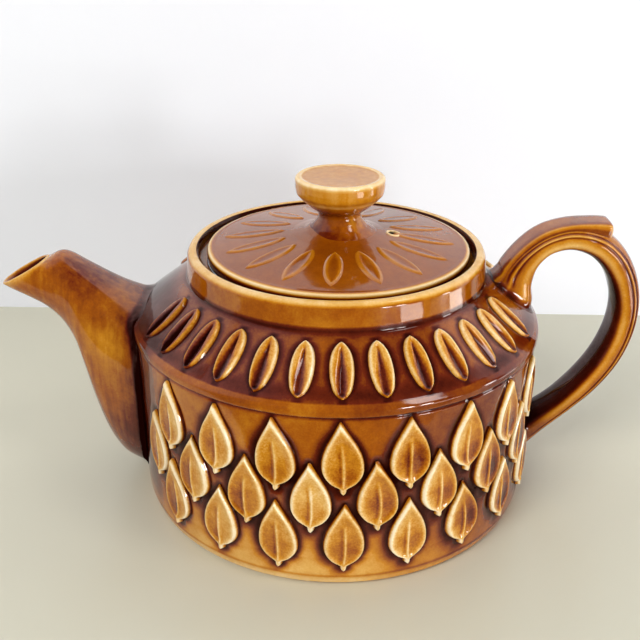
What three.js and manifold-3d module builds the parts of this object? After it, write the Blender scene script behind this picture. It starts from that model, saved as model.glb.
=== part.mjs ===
// Teapot with a lift-out infuser basket. Millimetres, +Z up, origin at the centre of the flat base.
// The spout points along -X, the handle along +X, and the side shown to the viewer faces -Y.
import * as THREE from 'three';
import { LoftGeometry } from 'three/addons/geometries/LoftGeometry.js';
import { mergeVertices } from 'three/addons/utils/BufferGeometryUtils.js';
import Module from 'manifold-3d';

const wasm = await Module();
wasm.setup();

// ---- driving dimensions ----
const FACETS = 44;                 // sides of a full turn on the pot and lid
const SMALL_FACETS = 32;           // sides of a full turn on the basket and knob

const WALL_R = 73.4;               // outside radius of the side wall
const WALL_THICK = 4.4;            // thickness of the fired wall
const FLOOR_THICK = 5;             // thickness of the floor
const CREASE_Z = 65.6;             // groove under the rounded shoulder edge
const SHOULDER_Z = 69.4;           // where the sloping shoulder starts
const SHOULDER_R = 71.8;
const COLLAR_Z = 84;               // where the shoulder meets the collar
const COLLAR_R = 54;
const RIM_Z = 93.6;                // top of the collar
const MOUTH_R = 49.5;              // recess that holds the basket flange and the lid
const SEAT_Z = 88.6;               // ledge inside the recess
const BORE_R = 43;                 // opening below the ledge

const LEAF_PITCH = 360 / 22;       // degrees between leaves of one row
const LEAF_LENGTH = 25.8;
const LEAF_HALF_WIDTH = 6.8;
const LEAF_PROUD = 1.4;
const LEAF_ROWS = [                // height of the stem end, its rise to the right, one azimuth
  { foot: 38.2, rise: 0.3, azimuth: 2 },
  { foot: 23.3, rise: 1.7, azimuth: -5.8 },
  { foot: 7.8, rise: 0.6, azimuth: 2.4 },
];
const PETAL_PITCH = 360 / 33;      // petals round the shoulder
const LID_PETAL_PITCH = 360 / 16;  // petals round the lid

const FLANGE_Z = 88.8;             // underside of the basket flange
const FLANGE_THICK = 0.8;
const FLANGE_R = 46.6;             // outside of the flange, hidden under the lid
const BASKET_R = 41.4;             // outside of the mesh sleeve
const BASKET_FLOOR_Z = 14;
const SHEET = 0.6;                 // sheet thickness used for the basket

const LID_Z = 90;                  // underside of the lid plate
const LID_R = 47.1;
const LID_PAD_Z = 100.4;           // flat pad under the knob
const LID_PAD_R = 10.3;
const KNOB_TOP_Z = 118.7;
const KNOB_R = 15.8;
const VENT_R = 2.2;
const VENT_AT = [20.4, -0.6];

// ---- solids ----
function solidFrom(geometry) {
  const bare = new THREE.BufferGeometry();
  bare.setAttribute('position', geometry.getAttribute('position'));
  bare.setIndex(geometry.getIndex());
  const merged = mergeVertices(bare, 1e-4);
  const place = merged.getAttribute('position');
  const index = merged.getIndex().array;
  const corners = [];
  let volume = 0;
  const a = new THREE.Vector3();
  const b = new THREE.Vector3();
  const c = new THREE.Vector3();
  for (let i = 0; i < index.length; i += 3) {
    const [p, q, r] = [index[i], index[i + 1], index[i + 2]];
    if (p === q || q === r || r === p) continue;
    corners.push([p, q, r]);
    a.fromBufferAttribute(place, p);
    b.fromBufferAttribute(place, q);
    c.fromBufferAttribute(place, r);
    volume += a.dot(b.cross(c));
  }
  const outward = volume < 0 ? corners.map(([p, q, r]) => [p, r, q]) : corners;
  return new wasm.Manifold(new wasm.Mesh({
    numProp: 3,
    vertProperties: Float32Array.from(place.array),
    triVerts: Uint32Array.from(outward.flat()),
  }));
}

function geometryFrom(solid) {
  const mesh = solid.getMesh();
  const geometry = new THREE.BufferGeometry();
  const stride = mesh.numProp;
  const count = mesh.vertProperties.length / stride;
  const place = new Float32Array(count * 3);
  for (let i = 0; i < count; i += 1) {
    for (let k = 0; k < 3; k += 1) place[i * 3 + k] = mesh.vertProperties[i * stride + k];
  }
  geometry.setAttribute('position', new THREE.BufferAttribute(place, 3));
  geometry.setIndex(Array.from(mesh.triVerts));
  geometry.computeVertexNormals();
  return geometry;
}

function turned(outline, sides = FACETS) {
  const points = outline.map(([r, z]) => new THREE.Vector2(r, z));
  const geometry = new THREE.LatheGeometry(points, sides);
  geometry.rotateX(Math.PI / 2);
  return geometry;
}

function joined(first, others) {
  return others.reduce((sum, next) => sum.add(next), first);
}

function cutFrom(first, others) {
  return others.reduce((rest, next) => rest.subtract(next), first);
}

function named(name, geometry, colour, roughness, metalness) {
  const material = new THREE.MeshStandardMaterial({ color: colour, roughness, metalness });
  const mesh = new THREE.Mesh(geometry, material);
  mesh.name = name;
  return mesh;
}

const glazed = (name, geometry) => named(name, geometry, 0x9c5516, 0.16, 0);
const steel = (name, geometry) => named(name, geometry, 0xc6c9cc, 0.3, 1);

// ---- relief on turned surfaces ----
// Bends a flat extrusion on to a cone or cylinder. Its x runs round the surface, its y runs up the
// surface from the given radius and height, and its z points out of it. lean is the surface's angle
// from the vertical, 0 on a wall and 90 degrees on a flat lid.
function wrapped(geometry, azimuthDeg, radius, height, leanDeg) {
  const azimuth = THREE.MathUtils.degToRad(azimuthDeg);
  const lean = THREE.MathUtils.degToRad(leanDeg);
  const place = geometry.getAttribute('position');
  for (let i = 0; i < place.count; i += 1) {
    const alongR = radius - place.getY(i) * Math.sin(lean);
    const r = alongR + place.getZ(i) * Math.cos(lean);
    const z = height + place.getY(i) * Math.cos(lean) + place.getZ(i) * Math.sin(lean);
    const angle = azimuth + place.getX(i) / alongR;
    place.setXYZ(i, r * Math.sin(angle), -r * Math.cos(angle), z);
  }
  return geometry;
}

// A pointed leaf with a round foot and a short stem, stem end at the origin.
function leafShape() {
  const w = LEAF_HALF_WIDTH;
  const stem = 1.1;
  const shape = new THREE.Shape();
  shape.moveTo(-stem, 0);
  shape.lineTo(stem, 0);
  shape.lineTo(stem, 1.9);
  shape.bezierCurveTo(w * 0.72, 2.4, w, 5.4, w, 10.2);
  shape.bezierCurveTo(w, 15.5, w * 0.56, 20.6, 0, LEAF_LENGTH);
  shape.bezierCurveTo(-w * 0.56, 20.6, -w, 15.5, -w, 10.2);
  shape.bezierCurveTo(-w, 5.4, -w * 0.72, 2.4, -stem, 1.9);
  return shape;
}

// A petal pointed at both ends, lower tip at the origin.
function petalShape(length, halfWidth) {
  const shape = new THREE.Shape();
  shape.moveTo(0, 0);
  shape.bezierCurveTo(halfWidth * 1.33, length * 0.25, halfWidth * 1.33, length * 0.75, 0, length);
  shape.bezierCurveTo(-halfWidth * 1.33, length * 0.75, -halfWidth * 1.33, length * 0.25, 0, 0);
  return shape;
}

function flatCut(shape, depth, curveSegments) {
  return new THREE.ExtrudeGeometry(shape, { depth, curveSegments, bevelEnabled: false });
}

// degrees from azimuth a to azimuth b, 0 to 180
function apart(a, b) {
  return Math.abs(((a - b + 540) % 360) - 180);
}

function leaves() {
  const out = [];
  const sunk = 1.2;
  for (const row of LEAF_ROWS) {
    for (let i = 0; i < 22; i += 1) {
      const azimuth = row.azimuth + i * LEAF_PITCH;
      if (apart(azimuth, 270) < 34 || apart(azimuth, 90) < 20) continue;
      const right = Math.sin(THREE.MathUtils.degToRad(azimuth));
      const uneven = 0.5 + 0.75 * right;
      const foot = row.foot + row.rise * right;
      const leaf = flatCut(leafShape(), LEAF_PROUD + sunk, 3);
      out.push(solidFrom(wrapped(leaf, azimuth + uneven, WALL_R - sunk, foot, 0)));
    }
  }
  return out;
}

function shoulderPetals() {
  const out = [];
  const rise = COLLAR_Z - SHOULDER_Z;
  const run = SHOULDER_R - COLLAR_R;
  const lean = THREE.MathUtils.radToDeg(Math.atan2(run, rise));
  for (let i = 0; i < 33; i += 1) {
    const azimuth = 2 + i * PETAL_PITCH;
    if (apart(azimuth, 270) < 23 || apart(azimuth, 90) < 14) continue;
    const petal = flatCut(petalShape(18.8, 3.9), 2.2, 3);
    petal.translate(0, 1.1, -1);
    out.push(solidFrom(wrapped(petal, azimuth, SHOULDER_R, SHOULDER_Z, lean)));
  }
  return out;
}

// ---- pot ----
function potOutside() {
  return [
    [0, 0],
    [70.6, 0],
    [72.2, 1],
    [73.1, 4],
    [WALL_R, 8],
    [WALL_R, CREASE_Z - 1],
    [WALL_R - 0.8, CREASE_Z],
    [WALL_R + 0.3, CREASE_Z + 1],
    [WALL_R, CREASE_Z + 2.6],
    [SHOULDER_R, SHOULDER_Z],
    [COLLAR_R + 0.8, COLLAR_Z - 0.6],
    [COLLAR_R - 0.2, COLLAR_Z + 0.8],
    [COLLAR_R - 0.8, RIM_Z - 2.4],
    [COLLAR_R - 1.6, RIM_Z - 0.6],
    [COLLAR_R - 2.6, RIM_Z],
    [MOUTH_R + 0.5, RIM_Z - 0.2],
    [MOUTH_R, RIM_Z - 1],
  ];
}

function potInside() {
  const inner = WALL_R - WALL_THICK;
  return [
    [MOUTH_R, SEAT_Z],
    [BORE_R, SEAT_Z],
    [BORE_R, 84.2],
    [46.5, 82.2],
    [50.4, 80.2],
    [inner - 1.4, 66],
    [inner, 62.5],
    [inner, 10],
    [inner - 2.6, FLOOR_THICK + 0.6],
    [0, FLOOR_THICK],
  ];
}

// Everything inside the outer skin, a little oversize, to trim what is fixed on the skin.
function potEnvelope() {
  const gap = 0.3;
  return solidFrom(turned([
    [0, -2],
    [WALL_R + gap, -2],
    [WALL_R + gap, CREASE_Z],
    [WALL_R + 0.3 + gap, CREASE_Z + 1],
    [WALL_R + gap, CREASE_Z + 2.8],
    [SHOULDER_R + 0.2, SHOULDER_Z + gap],
    [COLLAR_R + 1, COLLAR_Z - 0.3],
    [COLLAR_R + 0.1, COLLAR_Z + 1],
    [COLLAR_R - 0.4, RIM_Z + 10],
    [0, RIM_Z + 10],
  ]));
}

// Pouring holes pierced through the wall behind the spout, in staggered columns.
function pouringHoles() {
  const out = [];
  const pitch = 8;
  for (let column = -1; column <= 1; column += 1) {
    const count = column === 0 ? 5 : 4;
    for (let i = 0; i < count; i += 1) {
      const hole = new THREE.CylinderGeometry(2, 2, 16, 8);
      hole.rotateZ(Math.PI / 2);
      hole.translate(-WALL_R + WALL_THICK / 2, column * pitch * 0.87, 42 + (i - (count - 1) / 2) * pitch);
      out.push(solidFrom(hole));
    }
  }
  return out;
}

function potBody() {
  const shell = solidFrom(turned([...potOutside(), ...potInside()]));
  const moulded = joined(shell, [...leaves(), ...shoulderPetals()]);
  return glazed('pot_body', geometryFrom(cutFrom(moulded, pouringHoles())));
}

// ---- spout and handle ----
// A rounded section between two points of the XZ plane, with a half width along Y.
// power 2 is an oval, and a higher power is closer to a rectangle.
function section(a, b, halfWidth, power, count) {
  const points = [];
  for (let i = 0; i < count; i += 1) {
    const t = (i / count) * Math.PI * 2;
    const c = Math.sign(Math.cos(t)) * Math.abs(Math.cos(t)) ** (2 / power);
    const s = Math.sign(Math.sin(t)) * Math.abs(Math.sin(t)) ** (2 / power);
    const x = (a[0] + b[0]) / 2 + (c * (a[0] - b[0])) / 2;
    const z = (a[1] + b[1]) / 2 + (c * (a[1] - b[1])) / 2;
    points.push(new THREE.Vector3(x, s * halfWidth, z));
  }
  return points;
}

function lofted(sections) {
  return solidFrom(new LoftGeometry(sections, { capStart: true, capEnd: true }));
}

// upper and lower edge of the spout in the middle plane, and its half width
const SPOUT = [
  { top: [-58, 66.4], low: [-58, 5.5], half: 26.5 },
  { top: [-68, 70.6], low: [-68, 5.5], half: 25.4 },
  { top: [-74, 73], low: [-75.2, 6.2], half: 23 },
  { top: [-80, 76.2], low: [-81.2, 8.6], half: 20.2 },
  { top: [-85.4, 79.7], low: [-86.2, 15.8], half: 17.8 },
  { top: [-90.2, 83], low: [-90, 27.2], half: 15.6 },
  { top: [-94, 85.6], low: [-93, 40.2], half: 13.6 },
  { top: [-97.4, 88], low: [-96, 52], half: 11.6 },
  { top: [-99.9, 89], low: [-100.6, 61.3], half: 10 },
  { top: [-101.8, 88.8], low: [-106.8, 67.7], half: 8.6 },
  { top: [-103.4, 88], low: [-113.4, 71.5], half: 7.6 },
  { top: [-104.7, 87.2], low: [-119, 74.4], half: 7 },
  { top: [-105.4, 86.6], low: [-123.2, 76.8], half: 6.6 },
];

function spout() {
  const last = SPOUT.length - 1;
  const outer = lofted(SPOUT.map((s, i) => section(s.top, s.low, s.half, 3.2 - i / last, 20)));
  const bore = SPOUT.map((s, i) => {
    const thick = 3.8 - (1.5 * i) / last;
    const run = new THREE.Vector2(s.low[0] - s.top[0], s.low[1] - s.top[1]);
    const step = run.clone().normalize().multiplyScalar(thick);
    const top = [s.top[0] + step.x, s.top[1] + step.y];
    const low = [s.low[0] - step.x, s.low[1] - step.y];
    return section(top, low, s.half - thick, 2.2, 16);
  });
  const mouth = bore[bore.length - 1].map((p) => p.clone().add(new THREE.Vector3(-2.4, 0, 4)));
  const hollow = outer.subtract(lofted([...bore, mouth]));
  return glazed('spout', geometryFrom(hollow.subtract(potEnvelope())));
}

// outer and inner edge of the grip in the middle plane, and its half width
const GRIP = [
  { out: [48, 74], inn: [64, 62], half: 8 },
  { out: [57.4, 81.6], inn: [71.6, 71.4], half: 7.8 },
  { out: [60.4, 86.4], inn: [71.2, 79.6], half: 7.3 },
  { out: [64.6, 91.8], inn: [72.2, 85.8], half: 7.2 },
  { out: [69.8, 96.6], inn: [74.8, 90], half: 7.2 },
  { out: [75.5, 100], inn: [77.9, 92.2], half: 7.2 },
  { out: [82.3, 101.9], inn: [82.3, 93.3], half: 7.3 },
  { out: [90, 101.4], inn: [87, 92.6], half: 7.4 },
  { out: [97.5, 98.5], inn: [91.9, 90.1], half: 7.5 },
  { out: [103.8, 92.4], inn: [96.5, 85.2], half: 7.6 },
  { out: [108.6, 83.3], inn: [99.9, 78.6], half: 7.7 },
  { out: [110.8, 72.6], inn: [101.7, 71], half: 7.8 },
  { out: [110.3, 60.8], inn: [101, 61.4], half: 7.9 },
  { out: [106.6, 48.9], inn: [97.6, 51], half: 7.9 },
  { out: [99.5, 37.6], inn: [92, 41.4], half: 8 },
  { out: [90.8, 28.4], inn: [84.8, 32.4], half: 8.1 },
  { out: [82.4, 20.2], inn: [78, 26.6], half: 8.3 },
  { out: [74.6, 12], inn: [72.6, 23], half: 8.6 },
  { out: [66, 6.4], inn: [64, 19], half: 8.8 },
];

// raised strap along the top of the grip, ending in a blunt thumb rest
const STRAP = [
  { out: [50, 77], inn: [55, 73], half: 6.2 },
  { out: [58.2, 83.6], inn: [61.6, 80.6], half: 6 },
  { out: [60.4, 87.2], inn: [63.4, 84.8], half: 5.8 },
  { out: [64.2, 92.6], inn: [66.6, 90], half: 5.8 },
  { out: [69.2, 97.7], inn: [71.2, 95], half: 5.8 },
  { out: [75, 101.2], inn: [76, 98.2], half: 5.8 },
  { out: [82.3, 103.3], inn: [82.3, 99.8], half: 5.8 },
  { out: [90, 103.9], inn: [89.4, 99.6], half: 5.9 },
  { out: [95.2, 103.8], inn: [94.2, 98.2], half: 6 },
  { out: [97.4, 103.3], inn: [96.4, 97.4], half: 5.9 },
];

function handle() {
  const parts = [[GRIP, 2.8, 16], [STRAP, 4, 12]].map(([stations, power, count]) => (
    lofted(stations.map((s) => section(s.out, s.inn, s.half, power, count).reverse()))
  ));
  const fused = parts[0].add(parts[1]);
  return glazed('handle', geometryFrom(fused.subtract(potEnvelope())));
}

// ---- infuser basket ----
function flangeRim() {
  const top = FLANGE_Z + FLANGE_THICK;
  return steel('infuser_rim', turned([
    [BASKET_R, FLANGE_Z - 4],
    [BASKET_R + SHEET, FLANGE_Z - 4],
    [BASKET_R + SHEET, FLANGE_Z],
    [FLANGE_R - 0.3, FLANGE_Z],
    [FLANGE_R, FLANGE_Z + FLANGE_THICK / 2],
    [FLANGE_R - 0.3, top],
    [BASKET_R + 0.6, top],
    [BASKET_R, top - 0.6],
    [BASKET_R, FLANGE_Z - 4],
  ], SMALL_FACETS));
}

function sleeve() {
  return steel('infuser_sleeve', turned([
    [BASKET_R - SHEET, BASKET_FLOOR_Z],
    [BASKET_R, BASKET_FLOOR_Z],
    [BASKET_R, FLANGE_Z - 1],
    [BASKET_R - SHEET, FLANGE_Z - 1],
    [BASKET_R - SHEET, BASKET_FLOOR_Z],
  ], SMALL_FACETS));
}

function basketFloor() {
  const r = BASKET_R - SHEET;
  return steel('infuser_floor', turned([
    [0, BASKET_FLOOR_Z],
    [r, BASKET_FLOOR_Z],
    [r, BASKET_FLOOR_Z + SHEET],
    [0, BASKET_FLOOR_Z + SHEET],
  ], SMALL_FACETS));
}

// Band round the foot of the sleeve that clamps the floor in.
function footBand() {
  return steel('infuser_foot_band', turned([
    [BASKET_R - 2.4, BASKET_FLOOR_Z - 0.8],
    [BASKET_R + 0.4, BASKET_FLOOR_Z - 0.8],
    [BASKET_R + 0.8, BASKET_FLOOR_Z - 0.4],
    [BASKET_R + 0.8, BASKET_FLOOR_Z + 4],
    [BASKET_R, BASKET_FLOOR_Z + 4],
    [BASKET_R, BASKET_FLOOR_Z],
    [BASKET_R - 2.4, BASKET_FLOOR_Z],
    [BASKET_R - 2.4, BASKET_FLOOR_Z - 0.8],
  ], SMALL_FACETS));
}

// Wire loop for the fingertip, its two feet fixed flat on the inside of the sleeve.
function liftingLoop(name, side) {
  const inside = BASKET_R - SHEET - 1.6;
  const path = new THREE.CatmullRomCurve3([
    new THREE.Vector3(-12, side * Math.sqrt(inside ** 2 - 144), 62),
    new THREE.Vector3(-11.6, side * Math.sqrt(inside ** 2 - 134.6), 71),
    new THREE.Vector3(-10.6, side * 34, 78),
    new THREE.Vector3(-5.8, side * 30.6, 85),
    new THREE.Vector3(0, side * 30, 86.6),
    new THREE.Vector3(5.8, side * 30.6, 85),
    new THREE.Vector3(10.6, side * 34, 78),
    new THREE.Vector3(11.6, side * Math.sqrt(inside ** 2 - 134.6), 71),
    new THREE.Vector3(12, side * Math.sqrt(inside ** 2 - 144), 62),
  ]);
  const round = new THREE.Shape();
  round.absarc(0, 0, 0.9, 0, Math.PI * 2);
  const wire = new THREE.ExtrudeGeometry(round, { steps: 24, curveSegments: 4, extrudePath: path });
  return steel(name, geometryFrom(solidFrom(wire)));
}

// ---- lid ----
function lidPetals() {
  const out = [];
  const lean = 90 - THREE.MathUtils.radToDeg(Math.atan(0.15));
  for (let i = 0; i < 16; i += 1) {
    const petal = flatCut(petalShape(22, 3.5), 2, 3);
    petal.translate(0, 0, -1.2);
    out.push(solidFrom(wrapped(petal, -3.2 + i * LID_PETAL_PITCH, 41.4, 94.35, lean)));
  }
  return out;
}

function lidPlate() {
  const plate = solidFrom(turned([
    [0, LID_PAD_Z],
    [LID_PAD_R, LID_PAD_Z],
    [12.5, 99.1],
    [16.5, 98.1],
    [21, 97.4],
    [44.4, 93.9],
    [46, 93.6],
    [46.9, 93],
    [LID_R, 92.2],
    [LID_R, LID_Z + 0.6],
    [LID_R - 0.6, LID_Z],
    [39.6, LID_Z],
    [39.6, 81],
    [38.8, 80.2],
    [36, 80.2],
    [35.2, 81],
    [35.2, 89],
    [32, 90.4],
    [0, 94],
  ]));
  const vent = new THREE.CylinderGeometry(VENT_R, VENT_R, 30, 12);
  vent.rotateX(Math.PI / 2);
  vent.translate(VENT_AT[0], VENT_AT[1], 95);
  const moulded = joined(plate, lidPetals());
  return glazed('lid_plate', geometryFrom(moulded.subtract(solidFrom(vent))));
}

function knob() {
  return glazed('lid_knob', turned([
    [0, LID_PAD_Z],
    [LID_PAD_R - 0.1, LID_PAD_Z],
    [8.3, 102.6],
    [7.5, 104.6],
    [7.9, 105.8],
    [10.4, 107.9],
    [13.4, 110.4],
    [15.3, 112.6],
    [KNOB_R, 115],
    [KNOB_R, 117.6],
    [15.4, 118.4],
    [14.6, KNOB_TOP_Z],
    [13, KNOB_TOP_Z - 0.4],
    [0, KNOB_TOP_Z - 0.6],
  ], SMALL_FACETS));
}

// ---- assembly ----
const teapot = new THREE.Group();
const pot = new THREE.Group();
pot.add(potBody(), spout(), handle());
const basket = new THREE.Group();
basket.add(flangeRim(), sleeve(), basketFloor(), footBand());
basket.add(liftingLoop('infuser_loop_front', -1), liftingLoop('infuser_loop_back', 1));
const lid = new THREE.Group();
lid.add(lidPlate(), knob());
teapot.add(pot, basket, lid);

export default teapot;
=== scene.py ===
"""Looks of the teapot with its infuser basket. Lengths are millimetres until a mesh is made."""
import math

import bpy
import numpy as np
from mathutils import Matrix, Vector


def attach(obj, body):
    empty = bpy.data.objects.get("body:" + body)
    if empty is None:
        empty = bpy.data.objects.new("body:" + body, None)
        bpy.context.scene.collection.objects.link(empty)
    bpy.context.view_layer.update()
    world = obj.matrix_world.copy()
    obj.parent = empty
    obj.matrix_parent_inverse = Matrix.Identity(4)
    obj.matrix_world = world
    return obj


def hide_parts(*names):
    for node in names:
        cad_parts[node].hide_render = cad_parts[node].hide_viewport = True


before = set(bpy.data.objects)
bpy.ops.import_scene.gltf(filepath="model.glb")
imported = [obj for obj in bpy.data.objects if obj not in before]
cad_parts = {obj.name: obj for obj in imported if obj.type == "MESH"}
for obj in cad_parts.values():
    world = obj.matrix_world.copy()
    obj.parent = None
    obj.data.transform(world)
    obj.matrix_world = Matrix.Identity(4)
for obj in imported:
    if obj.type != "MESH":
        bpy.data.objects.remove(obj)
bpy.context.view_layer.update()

MM = 0.001
WALL_R = 73.4
SHOULDER = (72.2, 69.9)
COLLAR = (54.0, 84.0)
RIM_Z = 93.6
SEAT_Z = 88.6
SHOULDER_LEAN = math.degrees(math.atan2(SHOULDER[0] - COLLAR[0], COLLAR[1] - SHOULDER[1]))
SPOUT_SIDE, HANDLE_SIDE = 270.0, 90.0  # azimuths are degrees to the right of the front, which is -Y
LEAF_LENGTH = 25.8
LEAVES_ROUND = 22
LEAF_ROWS = ((38.2, 0.3, 2.0), (23.3, 1.7, -5.8), (7.8, 0.6, 2.4))  # foot, rise to the right, azimuth
PETALS_ROUND = 33
PETAL_LENGTH = 18.8
PETAL_START = 1.1
LID_PETALS = 16
LID_PETAL_LENGTH = 22.5
LID_SLOPE = 0.15
LID_EDGE = (41.6, 94.4)  # a point on the sloping top of the lid, as r and z


# ---- small numeric helpers ----
def smoothstep(low, high, value):
    t = np.clip((value - low) / (high - low), 0.0, 1.0)
    return t * t * (3.0 - 2.0 * t)


def bell(value, centre, width):
    return np.exp(-(((value - centre) / width) ** 2))


def graph_through(keys, at):
    """Smooth y over x through a few key points."""
    x, y = np.asarray(keys, float).T
    slope = np.gradient(y, x)
    i = np.clip(np.searchsorted(x, at) - 1, 0, len(x) - 2)
    h = x[i + 1] - x[i]
    t = np.clip((at - x[i]) / h, 0.0, 1.0)
    return ((2 * t ** 3 - 3 * t ** 2 + 1) * y[i] + (t ** 3 - 2 * t ** 2 + t) * h * slope[i]
            + (3 * t ** 2 - 2 * t ** 3) * y[i + 1] + (t ** 3 - t ** 2) * h * slope[i + 1])


def curve_through(points, count):
    """A smooth path of count points through the given ones, in any number of dimensions."""
    at = np.linspace(0, len(points) - 1, count)
    return np.stack([graph_through(list(enumerate(axis)), at) for axis in zip(*points)], -1)


def rounded_profile(corners, arc_steps=5):
    """Turns (r, z, radius) corners into a polyline whose corners are arcs."""
    out = []
    for k, (r, z, radius) in enumerate(corners):
        here = np.array([r, z], float)
        if radius == 0 or k in (0, len(corners) - 1):
            out.append(here)
            continue
        before = np.array(corners[k - 1][:2], float) - here
        after = np.array(corners[k + 1][:2], float) - here
        la, lb = np.linalg.norm(before), np.linalg.norm(after)
        ua, ub = before / la, after / lb
        half = math.acos(np.clip(ua @ ub, -1, 1)) / 2
        reach = min(radius / math.tan(half), 0.48 * la, 0.48 * lb)
        a, b = here + ua * reach, here + ub * reach
        for t in np.linspace(0, 1, arc_steps + 1):
            out.append((1 - t) ** 2 * a + 2 * t * (1 - t) * here + t * t * b)
    return np.array(out)


def spaced(profile, spacing):
    """Adds points along a polyline so that no step is longer than spacing gives for that place."""
    out = [profile[0]]
    for a, b in zip(profile[:-1], profile[1:]):
        length = np.linalg.norm(b - a)
        if length < 1e-6:
            continue
        n = max(1, math.ceil(length / spacing((a + b) / 2)))
        out.extend(a + (b - a) * t for t in np.arange(1, n + 1) / n)
    return np.array(out)


# ---- mesh helpers ----
def add_object(name, data):
    obj = bpy.data.objects.new(name, data)
    bpy.context.scene.collection.objects.link(obj)
    return obj


class Builder:
    """Collects vertices, faces and a glaze value for each vertex."""

    def __init__(self):
        self.verts, self.glaze, self.faces, self.count = [], [], [], 0

    def add(self, points, glaze):
        points = np.asarray(points, float).reshape(-1, 3)
        start = self.count
        self.verts.append(points)
        self.glaze.append(np.broadcast_to(np.asarray(glaze, float).ravel(), (len(points),)))
        self.count += len(points)
        return start

    def grid(self, points, glaze, wrap=True):
        """Quads over an array of rows x columns x 3. Returns the vertex numbers, rows x columns."""
        rows, cols = points.shape[:2]
        start = self.add(points, glaze)
        ids = start + np.arange(rows * cols).reshape(rows, cols)
        right = np.roll(ids, -1, 1) if wrap else ids[:, 1:]
        left = ids if wrap else ids[:, :-1]
        quads = np.stack([left[:-1], right[:-1], right[1:], left[1:]], -1)
        self.faces.extend(map(tuple, quads.reshape(-1, 4).tolist()))
        return ids

    def fan(self, ring, point, glaze, flip=False):
        tip = self.add([point], glaze)
        for a, b in zip(ring, np.roll(ring, -1)):
            self.faces.append((int(b), int(a), tip) if flip else (int(a), int(b), tip))

    def stitch(self, low, high):
        """Joins two rings of one length with quads."""
        nl, nh = np.roll(low, -1), np.roll(high, -1)
        self.faces.extend(map(tuple, np.stack([low, nl, nh, high], -1).tolist()))

    def stitch_all(self, rings):
        for a, b in zip(rings[:-1], rings[1:]):
            self.stitch(a, b)

    def stitch_coarse(self, fine, coarse, flip=False):
        """Joins a fine ring to a coarse ring whose points match every k-th fine point."""
        k = len(fine) // len(coarse)
        fine, near, far = fine.tolist(), coarse.tolist(), np.roll(coarse, -1).tolist()
        for i, (a, b) in enumerate(zip(near, far)):
            span = fine[i * k:i * k + k + 1] + fine[:1] * (i == len(near) - 1)
            faces = [(span[m], span[m + 1], a if 2 * m < k else b) for m in range(k)]
            faces.append((span[(k + 1) // 2], b, a))
            self.faces.extend(face[::-1] if flip else face for face in faces)

    def make(self, name, material, shift=0.0, smooth=True):
        verts = (np.concatenate(self.verts) + (shift, 0, 0)) * MM
        mesh = bpy.data.meshes.new(name)
        mesh.from_pydata(verts.tolist(), [], self.faces)
        attribute = mesh.attributes.new("glaze", "FLOAT", "POINT")
        attribute.data.foreach_set("value", np.concatenate(self.glaze).astype(np.float32))
        mesh.materials.append(material)
        mesh.polygons.foreach_set("use_smooth", [smooth] * len(mesh.polygons))
        mesh.update()
        return add_object(name, mesh)


def full_turn(count):
    """Angles of count points spaced evenly round a circle."""
    return np.arange(count) / count * 2 * math.pi


def turned_rows(profile, columns):
    """Rows of points for a profile of (r, z) turned about the axis, first column towards -Y."""
    angle = full_turn(columns)
    r, z = profile[:, 0][:, None], profile[:, 1][:, None]
    return np.stack([r * np.sin(angle), -r * np.cos(angle), z + 0 * angle], -1)


def turn_to(a, b):
    """Degrees from azimuth b to azimuth a, between -180 and 180."""
    return (a - b + 540.0) % 360.0 - 180.0


def apart(a, b):
    """Degrees between two azimuths."""
    return np.abs(turn_to(a, b))


def on_surface(x, y, h, azimuth, radius, height, lean):
    """Places local points on a turned surface: x runs round it, y runs up it, h stands out of it."""
    lean = math.radians(lean)
    along = radius - y * math.sin(lean)
    r = along + h * math.cos(lean)
    z = height + y * math.cos(lean) + h * math.sin(lean)
    angle = math.radians(azimuth) + x / along
    return np.stack([r * np.sin(angle), -r * np.cos(angle), z], -1)


# ---- materials ----
def new_material(name):
    material = bpy.data.materials.new(name)
    material.use_nodes = True
    tree = material.node_tree
    tree.nodes.clear()
    output = tree.nodes.new("ShaderNodeOutputMaterial")
    shader = tree.nodes.new("ShaderNodeBsdfPrincipled")
    tree.links.new(shader.outputs["BSDF"], output.inputs["Surface"])
    return material, tree, shader


def math_node(tree, operation, a, b):
    node = tree.nodes.new("ShaderNodeMath")
    node.operation = operation
    for socket, value in zip(node.inputs, (a, b)):
        if isinstance(value, (int, float)):
            socket.default_value = value
        else:
            tree.links.new(value, socket)
    return node.outputs[0]


def noise_node(tree, scale, detail=3.0, roughness=0.55, stretch=None):
    where = tree.nodes.new("ShaderNodeTexCoord").outputs["Object"]
    if stretch:
        mapping = tree.nodes.new("ShaderNodeMapping")
        mapping.inputs["Scale"].default_value = stretch
        tree.links.new(where, mapping.inputs["Vector"])
        where = mapping.outputs["Vector"]
    node = tree.nodes.new("ShaderNodeTexNoise")
    for socket, value in (("Scale", scale), ("Detail", detail), ("Roughness", roughness)):
        node.inputs[socket].default_value = value
    tree.links.new(where, node.inputs["Vector"])
    return node.outputs["Fac"]


def ramp_node(tree, factor, stops):
    node = tree.nodes.new("ShaderNodeValToRGB")
    ramp = node.color_ramp
    while len(ramp.elements) < len(stops):
        ramp.elements.new(0.5)
    for element, (position, colour) in zip(ramp.elements, stops):
        element.position = position
        element.color = (*colour, 1.0)
    tree.links.new(factor, node.inputs["Fac"])
    return node.outputs["Color"]


GLAZE_STOPS = (
    (0.00, (0.010, 0.001, 0.0005)),
    (0.15, (0.045, 0.004, 0.001)),
    (0.30, (0.125, 0.014, 0.002)),
    (0.45, (0.310, 0.076, 0.001)),
    (0.60, (0.530, 0.205, 0.008)),
    (0.75, (0.700, 0.390, 0.090)),
    (0.90, (0.870, 0.640, 0.330)),
    (1.00, (0.940, 0.790, 0.540)),
)


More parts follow.
